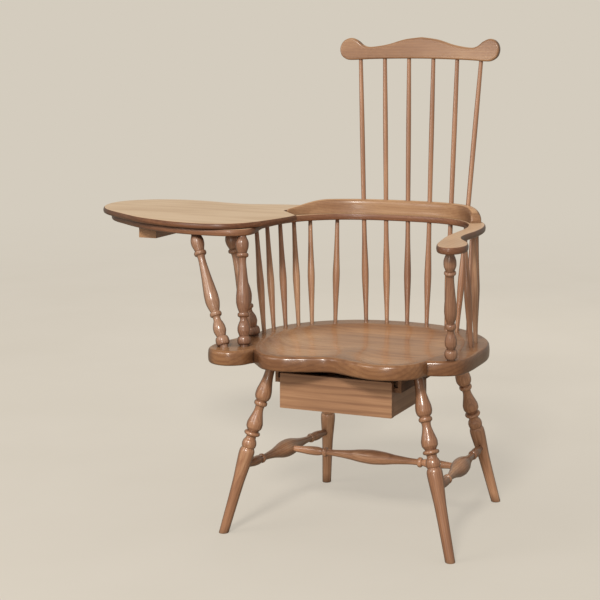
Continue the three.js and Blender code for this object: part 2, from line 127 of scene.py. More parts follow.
def inward_normals(outline):
    """Unit direction into the outline at each of its points."""
    along = np.roll(outline, -1, 0) - np.roll(outline, 1, 0)
    inward = np.column_stack([-along[:, 1], along[:, 0]])
    return inward / np.linalg.norm(inward, axis=1)[:, None]


def local_room(outline):
    """Radius of the largest circle that fits inside the outline against each point."""
    normals = inward_normals(outline)
    away = outline[None] - outline[:, None]
    ahead = np.sum(away * normals[:, None], 2)
    square = np.sum(away * away, 2)
    with np.errstate(divide="ignore", invalid="ignore"):
        radius = np.where(ahead > 1e-3 * np.sqrt(square), square / (2 * ahead), np.inf)
    return np.nanmin(radius, axis=1)


def inset_ring(outline, inset):
    """The outline moved inwards by a small distance, and by less where it is narrow."""
    share = np.minimum(inset, 0.7 * local_room(outline))
    return outline + share[:, None] * inward_normals(outline)


def is_inside(points, outline):
    """True for each point that lies in the outline."""
    x, y = points[:, 0][:, None], points[:, 1][:, None]
    ax, ay = outline.T
    bx, by = np.roll(outline, -1, 0).T
    crosses = (ay > y) != (by > y)
    with np.errstate(divide="ignore", invalid="ignore"):
        at = ax + (y - ay) / (by - ay) * (bx - ax)
    return np.sum(crosses & (x < at), axis=1) % 2 == 1


def edge_distance(points, outline):
    """Distance of each point from the nearest place on the outline."""
    start = outline
    span = np.roll(outline, -1, 0) - start
    away = points[:, None, :] - start[None]
    share = np.clip(np.sum(away * span, 2) / np.sum(span * span, 1), 0, 1)
    return np.linalg.norm(away - share[..., None] * span, axis=2).min(1)


def ease(value, low, high):
    """Smooth step from 0 at low to 1 at high."""
    t = np.clip((value - low) / (high - low), 0, 1)
    return t * t * (3 - 2 * t)


# ----------------------------------------------------------------------------- mesh tools

CREASE_ANGLE = math.radians(38)


def make_object(name, vertices, faces, matrix=None):
    """A smooth-shaded mesh object. Edges sharper than the crease angle stay sharp."""
    mesh = bpy.data.meshes.new(name)
    mesh.from_pydata([tuple(v) for v in vertices], [], [tuple(f) for f in faces])
    mesh.validate()
    mesh.shade_smooth()
    mesh.set_sharp_from_angle(angle=CREASE_ANGLE)
    made = bpy.data.objects.new(name, mesh)
    bpy.context.scene.collection.objects.link(made)
    if matrix is not None:
        made.matrix_world = matrix
    return made


def strip_faces(rings, sides):
    """Quads between each ring of points and the next."""
    faces = []
    for k in range(rings - 1):
        for i in range(sides):
            a = k * sides + i
            b = k * sides + (i + 1) % sides
            faces.append((a, b, b + sides, a + sides))
    return faces


def fill_ring(ring, spacing):
    """Points on a staggered grid inside the ring, and triangles over the ring and them."""
    low, high = ring.min(0), ring.max(0)
    rows = []
    for k, y in enumerate(np.arange(low[1] + spacing / 2, high[1], spacing * 0.87)):
        x = np.arange(low[0] + spacing / 2 * (k % 2), high[0], spacing)
        rows.append(np.column_stack([x, np.full(len(x), y)]))
    grid = np.vstack(rows)
    grid = grid[is_inside(grid, ring)]
    grid = grid[edge_distance(grid, ring) > 0.55 * spacing]
    points = np.vstack([ring, grid])
    found = delaunay_2d_cdt(
        [Vector(p) for p in points], [], [list(range(len(ring)))], 1, 1e-8
    )
    source = [origin[0] for origin in found[3]]
    return grid, [[source[i] for i in triangle] for triangle in found[2]]


def board(name, outline, edge, spacing=14 * MM, relief=None, warp=None):
    """A closed board. The edge lists (inset, height) from the underside round to the top.
    Relief moves the top's points up or down, and warp bends the whole board."""
    sides = len(outline)
    rings = [inset_ring(outline, inset) for inset, _ in edge]
    vertices = [np.column_stack([r, np.full(sides, e[1])]) for r, e in zip(rings, edge)]
    faces = strip_faces(len(edge), sides)
    total = sides * len(edge)
    for ring, height, first, is_top in (
        (rings[0], edge[0][1], 0, False),
        (rings[-1], edge[-1][1], total - sides, True),
    ):
        grid, triangles = fill_ring(ring, spacing)
        count = sum(len(block) for block in vertices)
        vertices.append(np.column_stack([grid, np.full(len(grid), height)]))
        for triangle in triangles:
            face = [first + i if i < sides else count + i - sides for i in triangle]
            faces.append(face if is_top else face[::-1])
        if is_top and relief is not None:
            vertices[-1][:, 2] += relief(grid)
    joined = np.vstack(vertices)
    if warp is not None:
        joined = warp(joined)
    return make_object(name, joined, faces)


def cut(source, name, point, normal):
    """The part of a closed mesh that lies behind a plane, with the cut closed."""
    bm = bmesh.new()
    bm.from_mesh(source.data)
    everything = bm.verts[:] + bm.edges[:] + bm.faces[:]
    bmesh.ops.bisect_plane(
        bm, geom=everything, plane_co=point, plane_no=normal, clear_outer=True
    )
    rim = [e for e in bm.edges if e.is_boundary]
    bmesh.ops.holes_fill(bm, edges=rim, sides=0)
    mesh = bpy.data.meshes.new(name)
    bm.to_mesh(mesh)
    bm.free()
    mesh.shade_smooth()
    mesh.set_sharp_from_angle(angle=CREASE_ANGLE)
    made = bpy.data.objects.new(name, mesh)
    bpy.context.scene.collection.objects.link(made)
    return made


FLAT_MARGIN = 1 * MM
ROUND_STEPS = 6


def rounded_edge(under, top, lower_round, upper_round, bulge):
    """Edge of a board: a quarter round below, a face that may bulge, a quarter round above.
    A narrow flat margin at both ends keeps the shading of the faces level."""
    points = [(lower_round + FLAT_MARGIN, under)]
    for k in range(ROUND_STEPS + 1):
        angle = math.pi / 2 * k / ROUND_STEPS
        points.append(
            (lower_round * (1 - math.sin(angle)), under + lower_round * (1 - math.cos(angle)))
        )
    low, high = under + lower_round, top - upper_round
    for k in range(1, ROUND_STEPS):
        share = k / ROUND_STEPS
        points.append((-bulge * math.sin(math.pi * share), low + (high - low) * share))
    for k in range(ROUND_STEPS + 1):
        angle = math.pi / 2 * k / ROUND_STEPS
        points.append(
            (upper_round * (1 - math.cos(angle)), top - upper_round * (1 - math.sin(angle)))
        )
    points.append((upper_round + FLAT_MARGIN, top))
    return points


# ------------------------------------------------------------------------ material graphs


class Graph:
    """Shorthand for building one material's nodes."""

    def __init__(self, name):
        self.material = bpy.data.materials.new(name)
        self.material.use_nodes = True
        self.tree = self.material.node_tree
        self.tree.nodes.clear()

    def node(self, kind, inputs=None, **settings):
        made = self.tree.nodes.new(kind)
        for key, value in settings.items():
            setattr(made, key, value)
        for key, value in (inputs or {}).items():
            if isinstance(value, bpy.types.NodeSocket):
                self.tree.links.new(value, made.inputs[key])
            else:
                made.inputs[key].default_value = value
        return made

    def math(self, operation, *values):
        made = self.node("ShaderNodeMath", dict(enumerate(values)), operation=operation)
        return made.outputs[0]

    def vector(self, operation, *values):
        made = self.node("ShaderNodeVectorMath", dict(enumerate(values)), operation=operation)
        return made.outputs["Value" if operation == "LENGTH" else "Vector"]

    def noise(self, place, scale, detail=2.0, roughness=0.5):
        inputs = {
            "Vector": self.vector("MULTIPLY", place, scale),
            "Scale": 1.0,
            "Detail": detail,
            "Roughness": roughness,
        }
        return self.node("ShaderNodeTexNoise", inputs)

    def ramp(self, value, stops):
        made = self.node("ShaderNodeValToRGB", {"Fac": value})
        elements = made.color_ramp.elements
        while len(elements) < len(stops):
            elements.new(0.5)
        for element, (position, colour) in zip(elements, stops):
            element.position = position
            element.color = colour if hasattr(colour, "__len__") else (colour,) * 3 + (1,)
        return made.outputs["Color"]

    def mix(self, share, first, second):
        made = self.node("ShaderNodeMix", {0: share, 6: first, 7: second}, data_type="RGBA")
        return made.outputs[2]

    def finish(self, shader):
        self.node("ShaderNodeOutputMaterial", {"Surface": shader})
        return self.material


def tone(red, green, blue):
    """A display colour, 0 to 255, as linear light."""
    def linear(value):
        value /= 255
        return value / 12.92 if value <= 0.04045 else ((value + 0.055) / 1.055) ** 2.4

    return (linear(red), linear(green), linear(blue), 1)


GRAIN_TURN = {
    "X": (0, -math.pi / 2, 0),
    "Y": (math.pi / 2, 0, 0),
    "Z": (0, 0, 0),
}
# Each piece is cut from its own place in the pattern, up to this far away.
PATTERN_SHIFT = (7.3, 4.1, 9.7)
TONE_STOPS = (0.1, 0.5, 0.95)
LIT_WORN_DEPTH = 9 * MM


def wood(
    name, tones, grain, figure, ring_pitch, gloss=0.36, polish=0.3, lit_worn_top_tones=None,
    lit_worn_under=None,
):
    """Varnished wood as a solid pattern: growth rings round an axis beside the piece, fine
    fibre along the grain, soft colour drift, dark old finish and painted shade in hollows,
    painted shade in corners between parts, and wear on edges.
    Tones are light, middle and dark display colours. Where top tones are given, level upward
    faces take them, partly as varnish worn through and partly as painted light on the tops,
    and above a given height only a quarter.
    Upright faces are painted darker where seen aslant: painted shade on their flanks."""
    g = Graph(name)
    light, middle, dark = (tone(*t) for t in tones)
    seed = g.node("ShaderNodeObjectInfo").outputs["Random"]
    place = g.node(
        "ShaderNodeMapping",
        {"Vector": g.node("ShaderNodeTexCoord").outputs["Object"], "Rotation": GRAIN_TURN[grain]},
    ).outputs["Vector"]
    shift = g.vector("SCALE", PATTERN_SHIFT)
    g.tree.links.new(seed, shift.node.inputs["Scale"])
    own = g.vector("ADD", place, shift)

    # Growth rings, bent a little out of round.
    warp = g.noise(own, (11, 11, 1.7), detail=3).outputs["Color"]
    sway = g.vector("MULTIPLY", g.vector("SUBTRACT", warp, (0.5, 0.5, 0.5)), (0.022, 0.022, 0))
    flat = g.vector("MULTIPLY", g.vector("ADD", place, (0.045, 0.03, 0)), (1, 1, 0))
    radius = g.vector("LENGTH", g.vector("ADD", flat, sway))
    phase = g.math("FRACT", g.math("DIVIDE", radius, ring_pitch))
    ring = g.ramp(phase, [(0, 0.05), (0.45, 0.2), (0.8, 1.0), (0.93, 0.75), (1, 0.05)])

    # Fibre, streaks and slow drift along the grain, and how dark they make the wood.
    fibre = g.noise(own, (760, 760, 13), detail=3, roughness=0.6).outputs["Fac"]
    streak = g.noise(own, (150, 150, 3.2), detail=2).outputs["Fac"]
    blotch = g.noise(own, (9, 9, 3.5), detail=3).outputs["Fac"]

    depth = g.math("MULTIPLY", g.math("SUBTRACT", ring, 0.35), 0.26 * figure)
    for source, weight in ((fibre, 0.42), (streak, 0.75 * figure), (blotch, 0.9)):
        part = g.math("MULTIPLY", g.math("SUBTRACT", source, 0.5), weight)
        depth = g.math("ADD", depth, part)
    own_tone = g.math("MULTIPLY", g.math("SUBTRACT", seed, 0.5), 0.14)
    depth = g.math("ADD", g.math("ADD", depth, own_tone), 0.5)
    colour = g.ramp(depth, list(zip(TONE_STOPS, (light, middle, dark))))

    # Level upward faces are lighter: partly varnish worn through, partly painted light where
    # light falls on the tops.
    geometry = g.node("ShaderNodeNewGeometry")
    upward = g.node("ShaderNodeSeparateXYZ", {0: geometry.outputs["Normal"]}).outputs["Z"]
    if lit_worn_top_tones is not None:
        lit_worn_colour = g.ramp(depth, list(zip(TONE_STOPS, (tone(*t) for t in lit_worn_top_tones))))
        level = g.math("ADD", upward, g.math("MULTIPLY", blotch, 0.10))
        lit_worn_share = g.ramp(level, [(0.90, 0.0), (1.0, 1.0)])
        if lit_worn_under is not None:
            position = g.node("ShaderNodeSeparateXYZ", {0: geometry.outputs["Position"]})
            drop = g.math("SUBTRACT", lit_worn_under, position.outputs["Z"])
            share = g.ramp(g.math("DIVIDE", drop, LIT_WORN_DEPTH), [(0.0, 0.25), (1.0, 1.0)])
            lit_worn_share = g.math("MULTIPLY", lit_worn_share, share)
        colour = g.mix(lit_worn_share, colour, lit_worn_colour)

    # Dark old finish and painted shade in the hollows, painted shade in corners between
    # parts, light wear on the edges, painted shade on upright flanks seen aslant.
    pointed = geometry.outputs["Pointiness"]
    # Painted shade in the grooves of the turnings, over a dark old finish there, and painted
    # shade from ambient occlusion in corners between parts and under them.
    hollow = g.ramp(pointed, [(0.42, 1.0), (0.492, 0.0)])
    shelter = g.node("ShaderNodeAmbientOcclusion", {"Distance": 0.035}, samples=8)
    tucked = g.ramp(shelter.outputs["AO"], [(0.15, 1.0), (0.85, 0.0)])
    finish_and_shade = g.math("MAXIMUM", g.math("MULTIPLY", hollow, 0.9), g.math("MULTIPLY", tucked, 0.8))
    deep = tuple(0.42 * value for value in dark[:3]) + (1,)
    colour = g.mix(finish_and_shade, colour, deep)
    worn = g.ramp(pointed, [(0.515, 0.0), (0.60, 1.0)])
    rub = g.math("MULTIPLY", worn, g.math("MULTIPLY", blotch, 0.75))
    colour = g.mix(rub, colour, light)
    # Painted shade: upright faces seen aslant are painted darker, as shaded flanks.
    aslant = g.node("ShaderNodeLayerWeight", {"Blend": 0.5}).outputs["Facing"]
    upright = g.ramp(g.math("ABSOLUTE", upward), [(0.7, 1.0), (0.9, 0.0)])
    painted_flank_shade = g.math("MULTIPLY", g.ramp(aslant, [(0.35, 0.0), (0.86, 0.85)]), upright)
    colour = g.mix(painted_flank_shade, colour, deep)

    # Duller along the fibre, in patches and in the hollows.
    rough = g.math("ADD", gloss - 0.07, g.math("MULTIPLY", fibre, 0.10))
    rough = g.math("ADD", rough, g.math("MULTIPLY", blotch, 0.08))
    rough = g.math("ADD", rough, g.math("MULTIPLY", finish_and_shade, 0.18))

    # Relief of the fibre and the rings, and the faint waves that the plane left.
    plane = g.noise(own, (26, 26, 9), detail=1).outputs["Fac"]
    height = g.math("MULTIPLY", fibre, 0.012 * MM)
    height = g.math("SUBTRACT", height, g.math("MULTIPLY", ring, 0.02 * MM))
    height = g.math("ADD", height, g.math("MULTIPLY", plane, 0.45 * MM))
    bump = g.node("ShaderNodeBump", {"Height": height, "Distance": 1.0, "Strength": 0.8})

    shader = g.node(
        "ShaderNodeBsdfPrincipled",
        {
            "Base Color": colour,
            "Roughness": rough,
            "Normal": bump.outputs["Normal"],
            "Coat Weight": polish,
            "Coat Roughness": 0.16,
        },
    )
    return g.finish(shader.outputs["BSDF"])


def dull_steel(name):
    """Screws: grey steel with turned marks and a little tarnish."""
    g = Graph(name)
    place = g.node("ShaderNodeTexCoord").outputs["Object"]
    marks = g.noise(place, (900, 900, 4000), detail=2).outputs["Fac"]
    tarnish = g.noise(place, (220, 220, 220), detail=3).outputs["Fac"]
    colour = g.mix(tarnish, tone(150, 148, 143), tone(96, 88, 80))
    bump = g.node("ShaderNodeBump", {"Height": marks, "Distance": 0.05 * MM})
    shader = g.node(
        "ShaderNodeBsdfPrincipled",
        {
            "Base Color": colour,
            "Metallic": 1.0,
            "Roughness": g.math("ADD", 0.3, g.math("MULTIPLY", tarnish, 0.25)),
            "Normal": bump.outputs["Normal"],
        },
    )
    return g.finish(shader.outputs["BSDF"])


# Display tones of each finish: light, middle, dark. Most finishes are the record's slots.
# Arm wood is for the arm boards: its sides, like the tablet's edges, are painted dark as
# shade and its tops painted light. Post wood is a darker copy of turned wood for the posts
# under them, painted shade against the lamp light that falls on them. The paler copy of
# turned wood for the turned pieces under the seat is painted light against the seat's shade.
TONES = {
    "seat_wood": ((164, 120, 82), (132, 91, 60), (94, 57, 36)),
    "turned_wood": ((216, 176, 138), (165, 119, 88), (98, 60, 43)),
    "post_wood": ((184, 146, 118), (140, 100, 76), (84, 50, 36)),
    "painted_light_turned_wood": ((250, 208, 168), (196, 145, 110), (116, 74, 54)),
    "rail_wood": ((184, 146, 108), (150, 110, 78), (104, 66, 44)),
    # The dark sides here are painted shade, beside tops painted light.
    "arm_wood": ((158, 112, 80), (124, 82, 58), (78, 46, 32)),
    "tablet_wood": ((142, 96, 64), (108, 68, 44), (70, 40, 26)),
    "drawer_wood": ((192, 150, 114), (158, 116, 84), (108, 70, 48)),
    "hidden_wood": ((158, 118, 82), (124, 86, 56), (84, 52, 34)),
}
# The same for level tops, partly worn and partly painted light where light falls on them.
LIT_WORN_TOP_TONES = {
    "seat_wood": ((218, 172, 126), (192, 143, 100), (140, 92, 60)),
    "rail_wood": ((218, 178, 136), (196, 154, 114), (152, 108, 74)),
    "arm_wood": ((236, 202, 166), (214, 178, 142), (166, 124, 92)),
    "tablet_wood": ((236, 208, 174), (220, 190, 154), (184, 146, 108)),
}
LOOKS = {
    "seat_wood": dict(
        figure=0.6, ring_pitch=9 * MM, gloss=0.27, polish=0.5, lit_worn_under=SEAT_TOP - 4 * MM
    ),
    "turned_wood": dict(figure=0.45, ring_pitch=4.6 * MM, gloss=0.31, polish=0.6),
    "post_wood": dict(figure=0.45, ring_pitch=4.6 * MM, gloss=0.33, polish=0.5),
    "painted_light_turned_wood": dict(figure=0.45, ring_pitch=4.6 * MM, gloss=0.31, polish=0.6),
    "rail_wood": dict(figure=0.35, ring_pitch=7 * MM),
    "arm_wood": dict(figure=0.4, ring_pitch=7 * MM),
    "tablet_wood": dict(figure=0.7, ring_pitch=9 * MM),
    "drawer_wood": dict(figure=1.0, ring_pitch=13 * MM, gloss=0.42),
    "hidden_wood": dict(figure=0.9, ring_pitch=6 * MM, gloss=0.6, polish=0.0),
}
finishes = {}


def material_for(finish, grain):
    """The material of a finish, with its grain along the given local axis."""
    key = (finish, grain)
    if key not in finishes:
        if finish == "screw_steel":
            finishes[key] = dull_steel(finish)
        else:
            finishes[key] = wood(
                f"{finish}_{grain}", TONES[finish], grain, lit_worn_top_tones=LIT_WORN_TOP_TONES.get(finish),
                **LOOKS[finish]
            )
    return finishes[key]


def install(piece, node, grain="Z", finish=None):
    """Puts a finished piece in the place of the CAD node it stands for."""
    piece.data.materials.append(material_for(finish or SLOT[node], grain))
    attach(piece, BODY[node])
    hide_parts(node)


# -------------------------------------------------------------------------- turned pieces


def bead(start, end, edge, peak):
    """Stations of a half-round ring between two fractions of the length."""
    stations = []
    for k in range(7):
        angle = math.pi * k / 6
        share = (1 - math.cos(angle)) / 2
        stations.append((start + (end - start) * share, edge + (peak - edge) * math.sin(angle)))
    return stations


def mirrored(half):
    """A profile that is the same from both ends, given up to its middle."""
    return half + [(1 - share, radius) for share, radius in reversed(half[:-1])]


# Profiles list (fraction of the length, radius in millimetres). Posts and legs start at
# the top, spindles at the seat.
LEG_PROFILE = [
    (0, 10.5), (0.08, 11.3), (0.11, 12.4), (0.15, 15.6), (0.18, 18.4), (0.203, 19.0),
    (0.224, 16.8), (0.236, 12.8),
    *bead(0.239, 0.264, 12.4, 15.7),
    (0.272, 10.6), (0.285, 10.3), (0.31, 12.2), (0.345, 16.5), (0.37, 18.9), (0.388, 18.6),
    (0.403, 15.2), (0.410, 13.4),
    *bead(0.413, 0.437, 13.0, 19.0),
    (0.444, 11.6), (0.452, 11.7), (0.470, 15.7), (0.485, 17.0), (0.500, 16.4), (0.508, 14.6),
    (0.516, 16.4), (0.530, 18.0), (0.545, 18.1), (0.60, 16.8), (0.71, 13.7), (1.0, 11.1),
]
ARM_POST_PROFILE = [
    (0, 9), (0.02, 9.6), (0.05, 12.4), (0.085, 14.5), (0.115, 14.5), (0.15, 12.0),
    (0.168, 10.1),
    *bead(0.172, 0.206, 9.8, 13.8),
    (0.216, 9.2), (0.24, 8.9), (0.30, 9.7), (0.40, 11.8), (0.50, 14.0), (0.55, 14.4),
    (0.60, 12.9), (0.635, 10.2), (0.652, 8.7),
    *bead(0.657, 0.711, 8.4, 12.4),
    (0.722, 7.8), (0.74, 8.0), (0.78, 11.5), (0.82, 14.0), (0.85, 13.8), (0.88, 11.0),
    (0.896, 9.2),
    *bead(0.900, 0.985, 9.2, 15.0),
    (1.0, 9.4),
]
# The writing posts are stouter, and their long swelling sits a little lower.
WRITING_POST_PROFILE = [
    (0, 10), (0.02, 11.4), (0.045, 14.4), (0.075, 16.0), (0.105, 15.4), (0.135, 13.0),
    (0.155, 11.4),
    *bead(0.160, 0.200, 10.8, 15.0),
    (0.212, 9.2), (0.24, 8.8), (0.30, 9.8), (0.40, 12.2), (0.50, 15.3), (0.56, 16.8),
    (0.60, 17.0), (0.65, 14.8), (0.685, 11.8), (0.695, 10.8),
    *bead(0.700, 0.740, 10.6, 14.2),
    (0.752, 8.8), (0.765, 8.7), (0.80, 12.2), (0.835, 14.8), (0.86, 15.0), (0.89, 12.8),
    (0.908, 11.2),
    *bead(0.912, 0.99, 10.8, 16.2),
    (1.0, 10),
]
SIDE_STRETCHER_PROFILE = mirrored([
    (0, 7.5), (0.05, 8.7), (0.10, 10.8), (0.135, 11.0), (0.162, 9.4), (0.173, 7.8),
    *bead(0.177, 0.204, 7.6, 11.2),
    (0.212, 7.4), (0.235, 7.6), (0.28, 8.8), (0.34, 11.5), (0.40, 15.9), (0.45, 19.6),
    (0.5, 21),
])
MEDIAL_STRETCHER_PROFILE = mirrored([
    (0, 7), (0.05, 8.4), (0.10, 10.2), (0.14, 10.5), (0.168, 9.2), (0.182, 7.7),
    *bead(0.186, 0.214, 7.5, 12.0),
    (0.222, 7.3), (0.245, 7.4), (0.30, 8.8), (0.36, 11.2), (0.43, 15.2), (0.5, 17),
])
SHORT_PROFILE = [
    (0, 5), (0.06, 5.3), (0.15, 6), (0.3, 7.7), (0.46, 9), (0.6, 7.7), (0.8, 6), (1, 5),
]
COMB_PROFILE = [
    (0, 5), (0.06, 6), (0.12, 7.7), (0.18, 8.8), (0.245, 7.7), (0.31, 6.3), (0.38, 5.8),
    (0.72, 6.3), (1, 5.2),
]

NEAR_FLOOR = 30 * MM          # an end lower than this is a leg's foot
RING_SPACING = 2.4 * MM       # between a lathe's rings on a straight run
TURN_WEIGHT = 9 * MM          # a turn of one radian brings as many rings as this length
PROFILE_STEPS = 1500
FOOT_EASING = ((1.5 * MM, 0), (0.4 * MM, 0.5 * MM), (0, 1.3 * MM))     # (height, inset)


def smooth_radius(stations, at):
    """Radius at each fraction, by a monotone cubic, so that no bead overshoots."""
    t, r = np.array(stations, float).T
    step = np.diff(t)
    slope = np.diff(r) / step
    tangent = np.zeros(len(t))
    same_way = slope[:-1] * slope[1:] > 0
    first = 2 * step[1:] + step[:-1]
    second = step[1:] + 2 * step[:-1]
    with np.errstate(divide="ignore", invalid="ignore"):
        mean = (first + second) / (first / slope[:-1] + second / slope[1:])
    tangent[1:-1] = np.where(same_way, mean, 0)
    tangent[0], tangent[-1] = slope[0], slope[-1]
    k = np.clip(np.searchsorted(t, at, side="right") - 1, 0, len(step) - 1)
    u = (at - t[k]) / step[k]
    return (
        (2 * u**3 - 3 * u**2 + 1) * r[k]
        + (u**3 - 2 * u**2 + u) * step[k] * tangent[k]
        + (3 * u**2 - 2 * u**3) * r[k + 1]
        + (u**3 - u**2) * step[k] * tangent[k + 1]
    )


def turned_axis(node):
    """Ends of a turned CAD node's axis, the upper one first, or the front one if level.
    Each end is the middle of the points near it. A leg's foot, sawn off level with the
    floor, is found from the points on the floor."""
    points = np.array([v.co for v in nodes[node].data.vertices])
    direction = np.linalg.svd(points - points.mean(0), full_matrices=False)[2][0]
    for reach in (2 * MM, 0.5 * MM, 0.5 * MM):
        along = points @ direction
        low = points[along < along.min() + reach].mean(0)
        high = points[along > along.max() - reach].mean(0)
        if min(low[2], high[2]) < NEAR_FLOOR:
            low, high = sorted((low, high), key=lambda end: end[2])
            low = points[points[:, 2] < 0.05 * MM].mean(0)
        direction = (high - low) / np.linalg.norm(high - low)
    ends = sorted((low, high), key=lambda end: (round(-end[2], 2), end[1]))
    return Vector(ends[0]), Vector(ends[1])


def lathe(name, start, end, tenons, stations, sides, on_floor):
    """A turned piece from start to end, with its rings closest where the profile turns.
    Plain tenons carry on into its neighbours, and a leg's foot is sawn off level with the
    floor, in place of the square rings that would reach the cut."""
    axis = end - start
    length = axis.length
    fine = np.linspace(0, 1, PROFILE_STEPS)
    radius = smooth_radius(stations, fine) * MM
    heading = np.arctan2(np.gradient(radius), np.gradient(fine * length))
    run = np.hypot(np.diff(radius), np.diff(fine) * length)
    effort = np.r_[0, np.cumsum(run + TURN_WEIGHT * np.abs(np.diff(heading)))]
    count = int(effort[-1] / RING_SPACING)
    at = np.interp(np.linspace(0, effort[-1], count), effort, fine)
    reach = np.r_[-tenons[0], at * length, length + tenons[1]]
    radii = np.interp(at, fine, radius)
    radii = np.r_[radii[0], radii, radii[-1]]

    turn = axis.to_track_quat("Z", "Y").to_matrix()
    angles = 2 * np.pi * np.arange(sides) / sides
    if on_floor:
        level = -axis.z / length
        tilt = np.array(turn.to_3x3())[2]
        keep = reach < length - radii * 0.5 - 3 * MM
        reach, radii = reach[keep], radii[keep]
    rings = [
        np.column_stack([r * np.cos(angles), r * np.sin(angles), np.full(sides, z)])
        for z, r in zip(reach, radii)
    ]
    if on_floor:
        for height, inset in FOOT_EASING:
            r = radii[-1] - inset
            x, y = r * np.cos(angles), r * np.sin(angles)
            z = (start.z - height + tilt[0] * x + tilt[1] * y) / level
            rings.append(np.column_stack([x, y, z]))
    faces = strip_faces(len(rings), sides)
    total = len(rings) * sides
    faces.append(list(range(sides))[::-1])
    faces.append(list(range(total - sides, total)))
    return make_object(name, np.vstack(rings), faces, Matrix.Translation(start) @ turn.to_4x4())


def build_turned(node, tenons, stations, sides, upward=False, finish="turned_wood"):
    """Replaces a turned CAD node by a smooth one on the same axis. The tenons, in
    millimetres, are those at the start and the end. Legs have none at the floor."""
    start, end = turned_axis(node)
    if upward:
        start, end = end, start
    axis = (end - start).normalized()
    lead, tail = (length * MM for length in tenons)
    shoulder, tip = start + axis * lead, end - axis * tail
    on_floor = tail == 0
    piece = lathe("turned_" + node, shoulder, tip, (lead, tail), stations, sides, on_floor)
    install(piece, node, finish=finish)


def build_all_turned():
    for node in sorted(nodes):
        if node.startswith("leg_front"):
            build_turned(node, (18, 0), LEG_PROFILE, 40)
        # Rear legs and the medial stretcher take the paler copy: painted light against the seat's
        # shade.
        elif node.startswith("leg_rear"):
            build_turned(node, (18, 0), LEG_PROFILE, 40, finish="painted_light_turned_wood")
        elif node.startswith("side_stretcher"):
            build_turned(node, (12, 12), SIDE_STRETCHER_PROFILE, 40)
        elif node == "medial_stretcher":
            build_turned(node, (15, 15), MEDIAL_STRETCHER_PROFILE, 40, finish="painted_light_turned_wood")
        # Posts take the darker copy: painted shade against the lamp light on them.
        elif node.startswith("arm_post"):
            build_turned(node, (10, 14), ARM_POST_PROFILE, 36, finish="post_wood")
        elif node.startswith("writing_post"):
            build_turned(node, (10, 14), WRITING_POST_PROFILE, 36, finish="post_wood")
        elif node.startswith("short_spindle"):
            build_turned(node, (16, 10), SHORT_PROFILE, 24, upward=True)
        elif node.startswith("comb_spindle"):
            build_turned(node, (16, 16), COMB_PROFILE, 24, upward=True)


build_all_turned()

# ----------------------------------------------------------------------------------- seat

SEAT_RIGHT_AND_BACK = [
    (0, 240), (80, 232), (150, 206), (214, 158), (262, 94), (287, 20), (292, -60),
    (291, -125), (280, -168), (252, -190), (217, -201),
]
SEAT_FRONT_LOBES = [
    (217, -201), (206, -240), (172, -274), (118, -286), (62, -271), (0, -249), (-58, -269),
    (-112, -286), (-158, -276), (-186, -248), (-206, -224),
]
SEAT_SIDE_LOBE = [
    (-206, -224), (-220, -256), (-252, -276), (-288, -270), (-313, -244), (-322, -206),
    (-317, -158), (-304, -110), (-293, -60),
]
SEAT_LEFT_AND_BACK = [
    (-293, -60), (-287, 20), (-262, 94), (-214, 158), (-150, 206), (-80, 232), (0, 240),
]
# Edge of the hollow: close to the front edge, inside the posts, and in front of the spindles.
DISH_OUTLINE = [
    (0, 184), (70, 176), (130, 150), (184, 106), (222, 44), (236, -30), (232, -100),
    (214, -160), (196, -214), (165, -252), (115, -263), (62, -249), (0, -228), (-62, -249),
    (-115, -263), (-165, -252), (-196, -214), (-222, -160), (-232, -100), (-238, -30),
    (-224, 44), (-186, 106), (-132, 150), (-70, 176), (0, 184),
]
DISH_DEPTH = 14 * MM
DISH_FALL = 85 * MM
RIDGE_HALF_WIDTH = 46
RIDGE_SHARE = 0.45
SEAT_JOINT = plan([(-206, -224), (-290, -92)])


def dish(points):
    """Depth of the hollow: a crisp rim, a rounded fall, and a low ridge between the thighs."""
    rim = closed(spline(plan(DISH_OUTLINE), 6 * MM))
    depth = np.where(is_inside(points, rim), edge_distance(points, rim), 0)
    fall = 1 - (1 - np.clip(depth / DISH_FALL, 0, 1)) ** 2.2
    x = (points[:, 0] - MIDDLE.x) / MM
    y = (points[:, 1] - MIDDLE.y) / MM
    ridge = RIDGE_SHARE * np.exp(-((x / RIDGE_HALF_WIDTH) ** 2)) * ease(-y, 0, 150)
    return -DISH_DEPTH * fall * (1 - ridge)


def build_seat():
    """The whole seat is shaped as one board, then parted along its glue joint."""
    outline = closed(
        spline(plan(SEAT_RIGHT_AND_BACK), OUTLINE_SPACING),
        spline(plan(SEAT_FRONT_LOBES), OUTLINE_SPACING),
        spline(plan(SEAT_SIDE_LOBE), OUTLINE_SPACING),
        spline(plan(SEAT_LEFT_AND_BACK), OUTLINE_SPACING),
    )
    edge = rounded_edge(SEAT_UNDER, SEAT_TOP, 6 * MM, 8 * MM, bulge=0.6 * MM)
    whole = board("seat_blank", outline, edge, spacing=7 * MM, relief=dish)
    start, end = SEAT_JOINT
    along = (end - start) / np.linalg.norm(end - start)
    out = Vector((-along[1], along[0], 0))
    on_joint = Vector((*start, SEAT_TOP))
    plank = cut(whole, "seat_main_plank", on_joint - out * GAP / 2, out)
    extension = cut(whole, "seat_extension_block", on_joint + out * GAP / 2, -out)
    bpy.data.objects.remove(whole)
    install(plank, "seat_plank", "X")
    install(extension, "seat_side_extension", "X")


build_seat()

# ------------------------------------------------------------------- arm rails and tablet

RAIL_INNER = {"left": 280, "right": 216, "depth": 243}
RAIL_OUTER = {"left": 324, "right": 256, "depth": 288}
RAIL_SQUARENESS = 2.6


